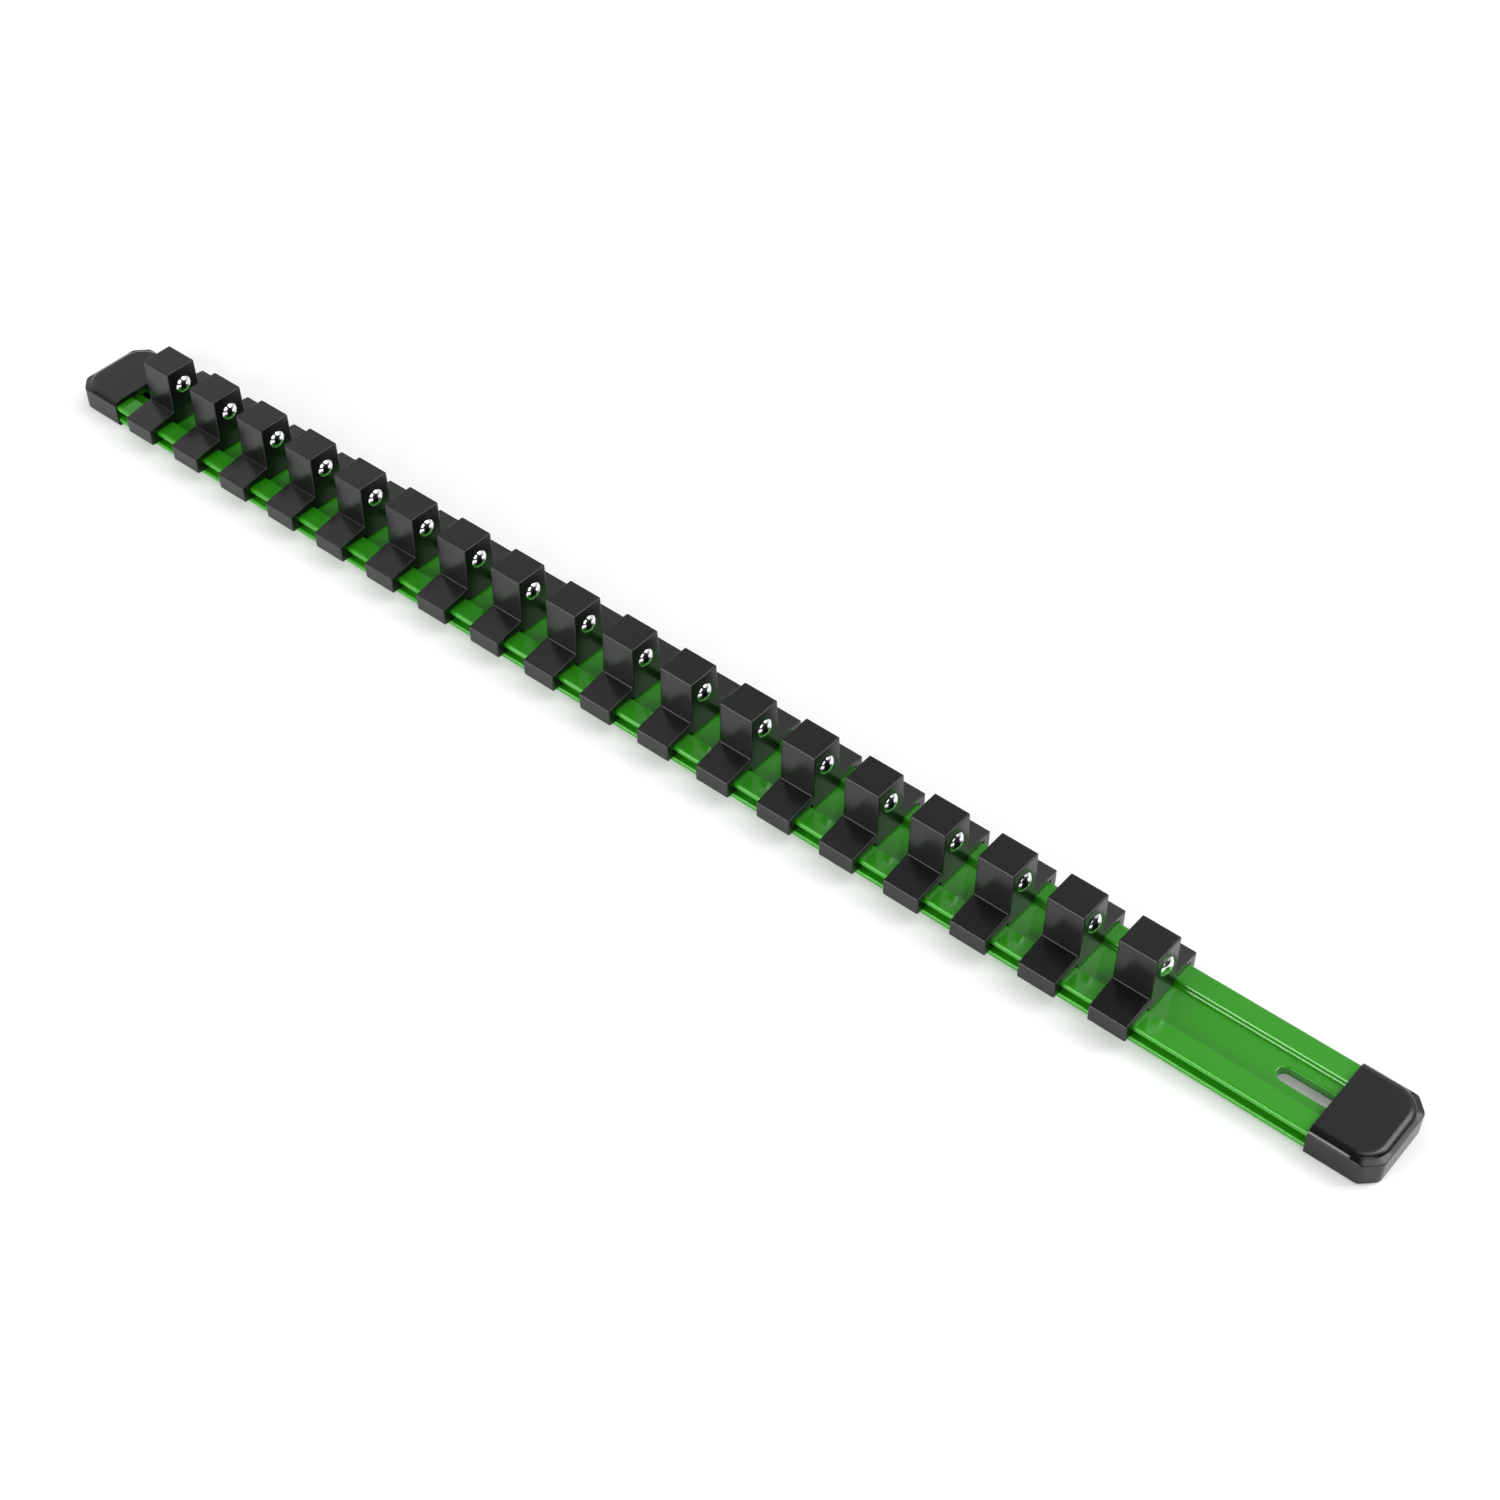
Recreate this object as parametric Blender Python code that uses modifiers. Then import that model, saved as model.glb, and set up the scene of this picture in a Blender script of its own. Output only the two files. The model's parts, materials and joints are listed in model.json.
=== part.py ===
"""Socket storage rail: an anodised aluminium extrusion with sliding clips, each with a sprung ball.

Metres, +Z up. X runs along the rail, Y across it, and Z is measured from the surface it lies on.
The origin is under the middle of the whole rail.
"""

import math
from collections import namedtuple

import bmesh
import bpy
from mathutils import Matrix

# Rail extrusion
rail_length = 0.5061
rail_width = 0.0284
flange_thickness = 0.0020
groove_height = 0.0030
lip_thickness = 0.0020
groove_depth = 0.0026
groove_draft = 0.00005
channel_width = 0.0137
channel_depth = 0.00195
web_thickness = 0.0031
side_wall = 0.0022
rail_edge_radius = 0.0007
rail_inner_radius = 0.00035
channel_edge_radius = 0.0008
channel_corner_radius = 0.0006

# Mounting slots through the floor of the channel, one near each end
slot_width = 0.0050
slot_length = 0.0220
slot_from_rail_end = 0.0101
slot_edge_radius = 0.0004

# Clips, and the rail that they leave free between the end caps
clip_count = 18
clip_length = 0.0125
left_free_length = 0.0092
right_free_length = 0.0547
clip_gap = 0.0003
clip_wall = 0.00287
hook_toe_gap = 0.0009
hook_lip_gap = 0.00085
keel_side_gap = 0.0004
saddle_relief = 0.0001
saddle_edge_height = 0.00205
saddle_root_height = 0.0036
post_height = 0.01925
post_root_width = 0.0126
post_top_width = 0.0117
post_root_radius = 0.0003
clip_edge_bevel = 0.0005
clip_end_bevel = 0.0004

# Sprung balls, each in a blind bore that opens on the clip's +X face
ball_diameter = 0.00794
ball_inset = 0.0025
ball_below_post_top = 0.00715
ball_side_gap = 0.000175
ball_rim_gap = 0.00005
bore_rim_depth = 0.0005
bore_depth = 0.0110

# Coil springs behind the balls
wire_diameter = 0.0006
spring_turns = 3.5
spring_side_gap = 0.0005
spring_end_gap = 0.0003

# End caps: an upright body with slanted corners at its nose, and a rounded dome on its shoulder
cap_length = 0.0206
cap_gap = 0.00025
cap_side_wall = 0.0004
cap_side_cover = 0.0002
cap_end_wall = 0.0010
cap_floor = 0.00075
cap_corner_length = 0.0043
cap_bow = 0.0002
cap_corner_radius = 0.0012
cap_bottom_radius = 0.0007
cap_top_bevel = 0.0003
cap_shoulder_side = 0.0008
cap_shoulder_nose = 0.0014
cap_shoulder_rise = 0.0004
dome_corner_radius = 0.0095
dome_rim_width = 0.0020
dome_rim_rise = 0.0009
dome_crown_width = 0.0060
dome_crown_rise = 0.0002
dome_past_mouth = 0.0030

# How finely round shapes are divided, and how much of an edge a fillet may take
fillet_steps = 3
bore_sides = 16
ball_segments = 12
ball_rings = 8
spring_points_per_turn = 7
bow_steps = 6
crown_steps = 3
fillet_limit_share = 0.45

# Cutters reach this far past what they cut, and points closer than the weld distance are one
overrun = 0.0010
weld_distance = 0.000001

# Edges sharper than the first stay sharp in shading, faces that meet at less than the second are one
round_angle = math.radians(35)
flat_angle = math.radians(0.5)

# Heights of the rail
rail_bottom = cap_floor + cap_gap
groove_bottom = rail_bottom + lip_thickness
groove_top = groove_bottom + groove_height
rail_top = groove_top + flange_thickness
channel_floor = rail_top - channel_depth

# Places along the rail
cap_overhang = cap_gap + cap_end_wall + cap_corner_length + cap_bow
overall_length = rail_length + 2 * cap_overhang
cap_mouth = overall_length / 2 - cap_length
first_clip_x = left_free_length + clip_length / 2 - cap_mouth
last_clip_x = cap_mouth - right_free_length - clip_length / 2
clip_pitch = (last_clip_x - first_clip_x) / (clip_count - 1)

# Places in a clip, measured from its middle along the rail
post_top = rail_top + post_height
ball_height = post_top - ball_below_post_top
clip_face = clip_length / 2
ball_centre = clip_face - ball_inset
bore_end = clip_face - bore_depth
bore_radius = ball_diameter / 2 + ball_side_gap
coil_radius = bore_radius - spring_side_gap - wire_diameter / 2

Corner = namedtuple("Corner", "u v radius steps", defaults=(0, fillet_steps))


def clear_scene():
    for item in list(bpy.data.objects):
        bpy.data.objects.remove(item)


def new_collection(name):
    collection = bpy.data.collections.new(name)
    bpy.context.scene.collection.children.link(collection)
    return collection


def new_material(name, colour, roughness, metallic):
    material = bpy.data.materials.new(name)
    material.use_nodes = True
    shader = material.node_tree.nodes["Principled BSDF"]
    shader.inputs["Base Color"].default_value = (*colour, 1)
    shader.inputs["Roughness"].default_value = roughness
    shader.inputs["Metallic"].default_value = metallic
    material.diffuse_color = (*colour, 1)
    return material


def place(name, data, collection, material=None, location=(0, 0, 0), parent=None):
    """Makes an object of a mesh or a curve, with its own material slot."""
    item = bpy.data.objects.new(name, data)
    collection.objects.link(item)
    item.location = location
    item.parent = parent
    if material:
        if not data.materials:
            data.materials.append(material)
        item.material_slots[0].link = "OBJECT"
        item.material_slots[0].material = material
    return item


def fillet(previous, corner, following):
    """The points of an arc that rounds a corner, as far as the edges beside it allow."""
    to_previous = (previous.u - corner.u, previous.v - corner.v)
    to_following = (following.u - corner.u, following.v - corner.v)
    length_in = math.hypot(*to_previous)
    length_out = math.hypot(*to_following)
    way_in = (to_previous[0] / length_in, to_previous[1] / length_in)
    way_out = (to_following[0] / length_out, to_following[1] / length_out)
    half_opening = math.acos(way_in[0] * way_out[0] + way_in[1] * way_out[1]) / 2
    limit = fillet_limit_share * min(length_in, length_out)
    reach = min(corner.radius / math.tan(half_opening), limit)
    radius = reach * math.tan(half_opening)
    middle = (way_in[0] + way_out[0], way_in[1] + way_out[1])
    to_centre = radius / math.sin(half_opening) / math.hypot(*middle)
    centre_u = corner.u + middle[0] * to_centre
    centre_v = corner.v + middle[1] * to_centre
    start_u = corner.u + way_in[0] * reach
    start_v = corner.v + way_in[1] * reach
    first_angle = math.atan2(start_v - centre_v, start_u - centre_u)
    turn = math.pi - 2 * half_opening
    if way_in[0] * way_out[1] - way_in[1] * way_out[0] > 0:
        turn = -turn
    points = []
    for step in range(corner.steps + 1):
        angle = first_angle + turn * step / corner.steps
        points.append((centre_u + radius * math.cos(angle), centre_v + radius * math.sin(angle)))
    return points


def rounded_outline(corners):
    """A closed outline from its corners. A radius of 0 leaves a corner sharp."""
    points = []
    for index, corner in enumerate(corners):
        if corner.radius:
            points += fillet(corners[index - 1], corner, corners[(index + 1) % len(corners)])
        else:
            points.append((corner.u, corner.v))
    return points


def mirrored(half):
    """Both sides of an outline whose half with u above 0 is given from bottom to top."""
    return half + [corner._replace(u=-corner.u) for corner in reversed(half)]


def close_mesh(mesh):
    """Welds loose caps to their walls, joins the flat faces and turns all faces outwards."""
    work = bmesh.new()
    work.from_mesh(mesh)
    bmesh.ops.remove_doubles(work, verts=work.verts, dist=weld_distance)
    bmesh.ops.dissolve_limit(work, angle_limit=flat_angle, verts=work.verts, edges=work.edges)
    bmesh.ops.recalc_face_normals(work, faces=work.faces)
    work.to_mesh(mesh)
    work.free()


def baked_mesh(item, name):
    """The mesh of an object as its modifiers or its curve settings make it."""
    bpy.context.view_layer.update()
    evaluated = item.evaluated_get(bpy.context.evaluated_depsgraph_get())
    mesh = bpy.data.meshes.new_from_object(evaluated)
    mesh.name = name
    return mesh


def extruded_mesh(name, outline, length, cutters, bevel=0):
    """A mesh of an outline in Y and Z, extruded along X about 0, with bevelled ends."""
    curve = bpy.data.curves.new(name, "CURVE")
    curve.dimensions = "2D"
    curve.fill_mode = "BOTH"
    curve.extrude = length / 2 - bevel
    curve.bevel_depth = bevel
    curve.bevel_resolution = 0
    curve.offset = -bevel
    spline = curve.splines.new("POLY")
    spline.points.add(len(outline) - 1)
    for point, (u, v) in zip(spline.points, outline):
        point.co = (u, v, 0, 1)
    spline.use_cyclic_u = True
    guide = place(name, curve, cutters)
    mesh = baked_mesh(guide, name)
    bpy.data.objects.remove(guide)
    bpy.data.curves.remove(curve)
    along_x = Matrix(((0, 0, 1, 0), (1, 0, 0, 0), (0, 1, 0, 0), (0, 0, 0, 1)))
    mesh.transform(along_x)
    close_mesh(mesh)
    return mesh


def shade_round(mesh):
    mesh.shade_smooth()
    mesh.set_sharp_from_angle(angle=round_angle)


def as_cutter(item):
    item.hide_render = True
    item.display_type = "WIRE"
    return item


def cut(item, cutter, name):
    boolean = item.modifiers.new(name, "BOOLEAN")
    boolean.operation = "DIFFERENCE"
    boolean.solver = "EXACT"
    boolean.object = cutter


def loft_mesh(name, rings):
    """A closed mesh through rings with the same number of points, from the lowest to the highest."""
    work = bmesh.new()
    rows = [[work.verts.new(point) for point in ring] for ring in rings]
    work.faces.new(list(reversed(rows[0])))
    work.faces.new(rows[-1])
    for lower, upper in zip(rows, rows[1:]):
        for index in range(len(lower)):
            after = (index + 1) % len(lower)
            work.faces.new((lower[index], lower[after], upper[after], upper[index]))
    bmesh.ops.recalc_face_normals(work, faces=work.faces)
    mesh = bpy.data.meshes.new(name)
    work.to_mesh(mesh)
    work.free()
    return mesh


def turned_cutter(name, profile, collection, location):
    """A turned shape about the X axis, from its profile of (x, radius) with the largest x first."""
    mesh = bpy.data.meshes.new(name)
    work = bmesh.new()
    points = [work.verts.new((radius, 0, x)) for x, radius in profile]
    for first, second in zip(points, points[1:]):
        work.edges.new((first, second))
    work.to_mesh(mesh)
    work.free()
    item = place(name, mesh, collection, location=location)
    item.rotation_euler = (0, math.pi / 2, 0)
    screw = item.modifiers.new("turn", "SCREW")
    screw.axis = "Z"
    screw.angle = math.tau
    screw.steps = bore_sides
    screw.render_steps = bore_sides
    screw.use_merge_vertices = True
    screw.merge_threshold = weld_distance
    return as_cutter(item)


def rail_outline():
    """The section, from the hollow underneath round the grooves to the channel's floor."""
    side = rail_width / 2
    groove = side - groove_depth
    hollow = groove - side_wall
    channel = channel_width / 2
    ceiling = channel_floor - web_thickness
    half = [
        Corner(hollow, ceiling, rail_inner_radius),
        Corner(hollow, rail_bottom, rail_inner_radius),
        Corner(side, rail_bottom, rail_edge_radius),
        Corner(side, groove_bottom, rail_edge_radius),
        Corner(groove, groove_bottom, rail_inner_radius),
        Corner(groove, groove_top, rail_inner_radius),
        Corner(side, groove_top + groove_draft, rail_edge_radius),
        Corner(side, rail_top, rail_edge_radius),
        Corner(channel, rail_top, channel_edge_radius),
        Corner(channel, channel_floor, channel_corner_radius),
    ]
    return rounded_outline(mirrored(half))


def stadium(length, width):
    """A slot's outline along X, centred on 0, with round ends."""
    straight = (length - width) / 2
    sides_per_end = bore_sides // 2
    points = []
    for centre, first_angle in ((straight, -math.pi / 2), (-straight, math.pi / 2)):
        for step in range(sides_per_end + 1):
            angle = first_angle + math.pi * step / sides_per_end
            points.append((centre + width / 2 * math.cos(angle), width / 2 * math.sin(angle)))
    return points


def slot_cutter(name, centre_x, cutters, frame):
    """A slot whose upper edge is rounded over, as deburring leaves it before it is anodised."""
    levels = [(rail_bottom - overrun, 0), (channel_floor - slot_edge_radius, 0)]
    for step in range(1, fillet_steps + 1):
        angle = math.pi / 2 * step / fillet_steps
        flare = slot_edge_radius * (1 - math.cos(angle))
        levels.append((channel_floor - slot_edge_radius * (1 - math.sin(angle)), flare))
    levels.append((rail_top + overrun, slot_edge_radius))
    rings = []
    for height, flare in levels:
        outline = stadium(slot_length + 2 * flare, slot_width + 2 * flare)
        rings.append([(x, y, height) for x, y in outline])
    return as_cutter(place(name, loft_mesh(name, rings), cutters, location=(centre_x, 0, 0), parent=frame))


def make_rail(parts, cutters, frame, material):
    mesh = extruded_mesh("rail", rail_outline(), rail_length, cutters)
    shade_round(mesh)
    rail = place("rail", mesh, parts, material, parent=frame)
    slot_centre = rail_length / 2 - slot_from_rail_end - slot_length / 2
    for name, side in (("slot_left", -1), ("slot_right", 1)):
        cut(rail, slot_cutter(name, side * slot_centre, cutters, frame), name)


def clip_outline():
    """A clip's section, from its keel in the channel round the rail's flanges to its post."""
    flange = rail_width / 2
    inner = flange + clip_gap
    outer = inner + clip_wall
    toe = flange - groove_depth + hook_toe_gap
    hook_top = groove_top - clip_gap
    hook_bottom = groove_bottom + hook_lip_gap
    keel = channel_width / 2 - keel_side_gap
    under = rail_top + clip_gap
    half = [
        Corner(keel, channel_floor + clip_gap, clip_end_bevel, 1),
        Corner(keel, under + saddle_relief),
        Corner(inner, under),
        Corner(inner, hook_top),
        Corner(toe, hook_top),
        Corner(toe, hook_bottom),
        Corner(outer, hook_bottom, clip_edge_bevel, 1),
        Corner(outer, rail_top + saddle_edge_height, clip_edge_bevel, 1),
        Corner(post_root_width / 2, rail_top + saddle_root_height, post_root_radius, 1),
        Corner(post_top_width / 2, post_top, clip_edge_bevel, 1),
    ]
    return rounded_outline(mirrored(half))


def ball_bore(cutters):
    """The cutter of a blind bore. Its rim is narrower than the ball, which stands out through it."""
    flat_to_corner = 1 / math.cos(math.pi / bore_sides)
    ball_at_face = math.sqrt((ball_diameter / 2) ** 2 - ball_inset**2)
    rim = (ball_at_face + ball_rim_gap) * flat_to_corner
    wall = bore_radius * flat_to_corner
    profile = [
        (clip_face + overrun, 0),
        (clip_face + overrun, rim),
        (clip_face, rim),
        (clip_face - bore_rim_depth, wall),
        (bore_end, wall),
        (bore_end, 0),
    ]
    return turned_cutter("ball_bore", profile, cutters, (0, 0, ball_height))


def make_clips(parts, cutters, frame, material):
    """All clips share one mesh, bored once for the ball and its spring."""
    blank_mesh = extruded_mesh("clip_blank", clip_outline(), clip_length, cutters, clip_end_bevel)
    blank = place("clip_blank", blank_mesh, cutters)
    cut(blank, ball_bore(cutters), "ball_bore")
    mesh = baked_mesh(blank, "clip")
    bpy.data.objects.remove(blank)
    shade_round(mesh)
    clips = []
    for number in range(clip_count):
        centre = (first_clip_x + number * clip_pitch, 0, 0)
        clips.append(place(f"clip_{number + 1:02d}", mesh, parts, material, centre, frame))
    return clips


def make_balls(parts, clips, material):
    work = bmesh.new()
    bmesh.ops.create_uvsphere(
        work,
        u_segments=ball_segments,
        v_segments=ball_rings,
        radius=ball_diameter / 2,
        matrix=Matrix.Rotation(math.pi / 2, 4, "Y"),
    )
    mesh = bpy.data.meshes.new("ball")
    work.to_mesh(mesh)
    work.free()
    mesh.shade_smooth()
    for number, clip in enumerate(clips):
        place(f"ball_{number + 1:02d}", mesh, parts, material, (ball_centre, 0, ball_height), clip)


def spring_points():
    """Points of a helix about X, from the bore's end to a coil that sits behind the ball."""
    seat = ball_diameter / 2 + spring_end_gap + wire_diameter / 2
    front = ball_centre - math.sqrt(seat**2 - coil_radius**2)
    back = bore_end + spring_end_gap + wire_diameter / 2
    count = round(spring_turns * spring_points_per_turn)
    points = []
    for step in range(count + 1):
        angle = math.tau * step / spring_points_per_turn
        x = back + (front - back) * step / count
        points.append((x, coil_radius * math.cos(angle), coil_radius * math.sin(angle)))
    return points


def make_springs(parts, clips, material):
    points = spring_points()
    turn_apart = zip(points, points[spring_points_per_turn:])
    least_gap = min(math.dist(*pair) for pair in turn_apart) - wire_diameter
    print(f"least gap between a spring's turns: {least_gap * 1000:.2f} mm")
    curve = bpy.data.curves.new("spring", "CURVE")
    curve.dimensions = "3D"
    curve.bevel_depth = wire_diameter / 2
    curve.bevel_resolution = 0
    curve.use_fill_caps = True
    spline = curve.splines.new("POLY")
    spline.points.add(len(points) - 1)
    for spline_point, point in zip(spline.points, points):
        spline_point.co = (*point, 1)
    for number, clip in enumerate(clips):
        place(f"spring_{number + 1:02d}", curve, parts, material, (0, 0, ball_height), clip)


def cap_corners():
    """The body's plan from above, anticlockwise, reaching past its mouth to be cut there."""
    side = rail_width / 2 + cap_gap + cap_side_wall
    end = overall_length / 2
    start = cap_mouth - dome_past_mouth
    corner_y = side - cap_corner_length
    bow_radius = (corner_y**2 + cap_bow**2) / (2 * cap_bow)
    half_angle = math.asin(corner_y / bow_radius)
    corner_start = end - cap_bow - cap_corner_length
    corners = [(start, -side), (corner_start, -side), (end - cap_bow, -corner_y)]
    for step in range(1, bow_steps):
        angle = half_angle * (2 * step / bow_steps - 1)
        corners.append((end - bow_radius * (1 - math.cos(angle)), bow_radius * math.sin(angle)))
    corners += [(end - cap_bow, corner_y), (corner_start, side), (start, side)]
    return corners


def inset(corners, distance):
    """A convex outline with every edge moved inwards."""
    lines = []
    for index, (x, y) in enumerate(corners):
        next_x, next_y = corners[(index + 1) % len(corners)]
        length = math.hypot(next_x - x, next_y - y)
        inward = (-(next_y - y) / length, (next_x - x) / length)
        lines.append((*inward, inward[0] * x + inward[1] * y + distance))
    moved = []
    for index in range(len(corners)):
        a, b, c = lines[index - 1]
        d, e, f = lines[index]
        area = a * e - b * d
        moved.append(((c * e - b * f) / area, (a * f - c * d) / area))
    return moved


def body_ring(distance, height):
    """One level of the body, with the two corners on each side of its nose rounded."""
    points = inset(cap_corners(), distance)
    rounded = (1, 2, len(points) - 3, len(points) - 2)
    corners = [Corner(x, y, cap_corner_radius if index in rounded else 0) for index, (x, y) in enumerate(points)]
    return [(x, y, height) for x, y in rounded_outline(corners)]


def dome_ring(distance, height):
    """One level of the dome, with a point for each of the body's, on round corners and a flat nose."""
    side = rail_width / 2 + cap_gap + cap_side_wall - cap_shoulder_side - distance
    nose = overall_length / 2 - cap_shoulder_nose - distance
    radius = dome_corner_radius - distance
    arc_steps = 2 * fillet_steps + 1
    half = [(cap_mouth - dome_past_mouth, -side)]
    for step in range(arc_steps + 1):
        angle = math.pi / 2 * step / arc_steps
        half.append((nose - radius * (1 - math.sin(angle)), -side + radius * (1 - math.cos(angle))))
    flat = side - radius
    across = [(nose, flat * (2 * step / bow_steps - 1)) for step in range(1, bow_steps)]
    outline = half + across + [(x, -y) for x, y in reversed(half)]
    return [(x, y, height) for x, y in outline]


def cap_rings():
    """The cap's levels: round bottom edge, upright sides, bevel, shoulder, the dome's rim and crown."""
    side_top = rail_top + cap_gap + cap_side_cover
    shoulder_top = side_top + cap_shoulder_rise
    rim_top = shoulder_top + dome_rim_rise
    rings = []
    for step in range(fillet_steps + 1):
        angle = math.pi / 2 * step / fillet_steps
        distance = cap_bottom_radius * (1 - math.sin(angle))
        rings.append(body_ring(distance, cap_bottom_radius * (1 - math.cos(angle))))
    rings.append(body_ring(0, side_top - cap_top_bevel))
    rings.append(body_ring(cap_top_bevel, side_top))
    for step in range(fillet_steps + 1):
        angle = math.pi / 2 * step / fillet_steps
        distance = dome_rim_width * (1 - math.cos(angle))
        rings.append(dome_ring(distance, shoulder_top + dome_rim_rise * math.sin(angle)))
    for step in range(1, crown_steps + 1):
        share = step / crown_steps
        distance = dome_rim_width + dome_crown_width * share
        rings.append(dome_ring(distance, rim_top + dome_crown_rise * (1 - (1 - share) ** 2)))
    return rings


def open_at_mouth(mesh):
    """Cuts the cap's lofted body off square at its mouth, and closes the cut."""
    work = bmesh.new()
    work.from_mesh(mesh)
    everything = list(work.verts) + list(work.edges) + list(work.faces)
    mouth_plane = {"plane_co": (cap_mouth, 0, 0), "plane_no": (-1, 0, 0)}
    halves = bmesh.ops.bisect_plane(work, geom=everything, clear_outer=True, **mouth_plane)
    rim = [item for item in halves["geom_cut"] if isinstance(item, bmesh.types.BMEdge)]
    bmesh.ops.edgeloop_fill(work, edges=rim)
    bmesh.ops.recalc_face_normals(work, faces=work.faces)
    work.to_mesh(mesh)
    work.free()


def cap_pocket(cutters):
    """The cutter of the pocket that goes over the rail's end."""
    length = rail_length / 2 + cap_gap - cap_mouth + overrun
    size = (length, rail_width + 2 * cap_gap, rail_top - rail_bottom + 2 * cap_gap)
    work = bmesh.new()
    bmesh.ops.create_cube(work, size=1, matrix=Matrix.Diagonal((*size, 1)))
    mesh = bpy.data.meshes.new("cap_pocket")
    work.to_mesh(mesh)
    work.free()
    centre = (cap_mouth - overrun + length / 2, 0, (rail_top + rail_bottom) / 2)
    return as_cutter(place("cap_pocket", mesh, cutters, location=centre))


def make_caps(parts, cutters, frame, material):
    """The right cap, and the same moulding turned round for the left end."""
    body = loft_mesh("cap_blank", cap_rings())
    open_at_mouth(body)
    blank = place("cap_blank", body, cutters)
    cut(blank, cap_pocket(cutters), "pocket")
    mesh = baked_mesh(blank, "end_cap")
    bpy.data.objects.remove(blank)
    shade_round(mesh)
    place("end_cap_right", mesh, parts, material, parent=frame)
    left = place("end_cap_left", mesh, parts, material, parent=frame)
    left.rotation_euler = (0, 0, math.pi)


def main():
    clear_scene()
    parts = new_collection("socket_rail")
    cutters = new_collection("socket_rail_cutters")
    frame = bpy.data.objects.new("socket_rail", None)
    parts.objects.link(frame)

    green = new_material("green_anodised", (0.05, 0.35, 0.03), 0.22, 1)
    black = new_material("black_plastic", (0.02, 0.02, 0.022), 0.4, 0)
    cap_black = new_material("cap_plastic", (0.015, 0.015, 0.016), 0.3, 0)
    chrome = new_material("chromed_steel", (0.8, 0.8, 0.8), 0.08, 1)
    spring_steel = new_material("spring_steel", (0.45, 0.45, 0.46), 0.3, 1)

    make_rail(parts, cutters, frame, green)
    clips = make_clips(parts, cutters, frame, black)
    make_balls(parts, clips, chrome)
    make_springs(parts, clips, spring_steel)
    make_caps(parts, cutters, frame, cap_black)


main()
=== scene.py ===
"""Finishes a socket rail: its anodised extrusion, sliding clips, sprung balls, end caps and studio.

Metres, +Z up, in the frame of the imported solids. X runs along the rail and the balls look along it.
"""

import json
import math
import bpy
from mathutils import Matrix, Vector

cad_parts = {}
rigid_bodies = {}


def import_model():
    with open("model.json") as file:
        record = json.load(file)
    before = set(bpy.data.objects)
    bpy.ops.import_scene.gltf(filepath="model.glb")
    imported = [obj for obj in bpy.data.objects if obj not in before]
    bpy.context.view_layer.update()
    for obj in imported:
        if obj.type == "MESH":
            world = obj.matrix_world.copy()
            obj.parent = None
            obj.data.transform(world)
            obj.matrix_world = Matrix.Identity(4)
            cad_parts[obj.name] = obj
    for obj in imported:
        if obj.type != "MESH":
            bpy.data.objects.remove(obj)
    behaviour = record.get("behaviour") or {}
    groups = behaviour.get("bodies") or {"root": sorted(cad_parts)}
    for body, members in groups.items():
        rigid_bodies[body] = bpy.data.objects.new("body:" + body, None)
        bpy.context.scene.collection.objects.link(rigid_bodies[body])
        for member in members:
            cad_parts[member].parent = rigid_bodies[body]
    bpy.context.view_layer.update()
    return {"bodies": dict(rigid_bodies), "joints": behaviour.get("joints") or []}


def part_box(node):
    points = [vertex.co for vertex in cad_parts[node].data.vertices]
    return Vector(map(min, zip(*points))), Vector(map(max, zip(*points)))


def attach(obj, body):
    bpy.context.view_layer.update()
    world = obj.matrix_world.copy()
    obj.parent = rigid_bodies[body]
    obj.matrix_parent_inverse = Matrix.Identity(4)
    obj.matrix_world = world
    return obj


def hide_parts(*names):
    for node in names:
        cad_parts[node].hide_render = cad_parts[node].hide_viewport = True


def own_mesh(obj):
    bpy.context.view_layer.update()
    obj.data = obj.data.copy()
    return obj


bl_info = {
    "name": "Socket rail finish",
    "version": (1, 0, 0),
    "blender": (4, 5, 0),
    "location": "3D View > Sidebar > Socket rail",
    "description": "Builds the finished pieces of a socket rail around its solids, and a studio",
    "category": "Object",
}

import bmesh
import bpy
from mathutils import Matrix, Quaternion, Vector

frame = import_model()

clip_bodies = sorted(name for name in frame["bodies"] if name.startswith("clip_"))
rail_low, rail_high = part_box("rail")
cap_low, cap_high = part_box("end_cap_right")
clip_low, clip_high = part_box(clip_bodies[0])
ball_low, ball_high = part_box("ball_01")

ball_radius = (ball_high.x - ball_low.x) / 2
clip_length = clip_high.x - clip_low.x

weld_distance = 0.000001
cutter_overrun = 0.001
flat_angle = math.radians(0.5)
sharp_angle = math.radians(40)
flat_face_weight = 100
fillet_limit_share = 0.45


def number(name, description, default, **options):
    return bpy.props.FloatProperty(name=name, description=description, default=default, **options)


def length(name, description, default):
    return number(name, description, default, min=0, precision=6, unit="LENGTH")


def factor(name, description, default):
    return number(name, description, default, min=0, max=1, subtype="FACTOR")


def numbers(name, description, default, **options):
    return bpy.props.FloatVectorProperty(
        name=name, description=description, default=default, size=len(default), **options
    )


def lengths(name, description, default):
    return numbers(name, description, default, unit="LENGTH")


def colour(name, description, default):
    return numbers(name, description, default, min=0, max=1, subtype="COLOR")


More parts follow.
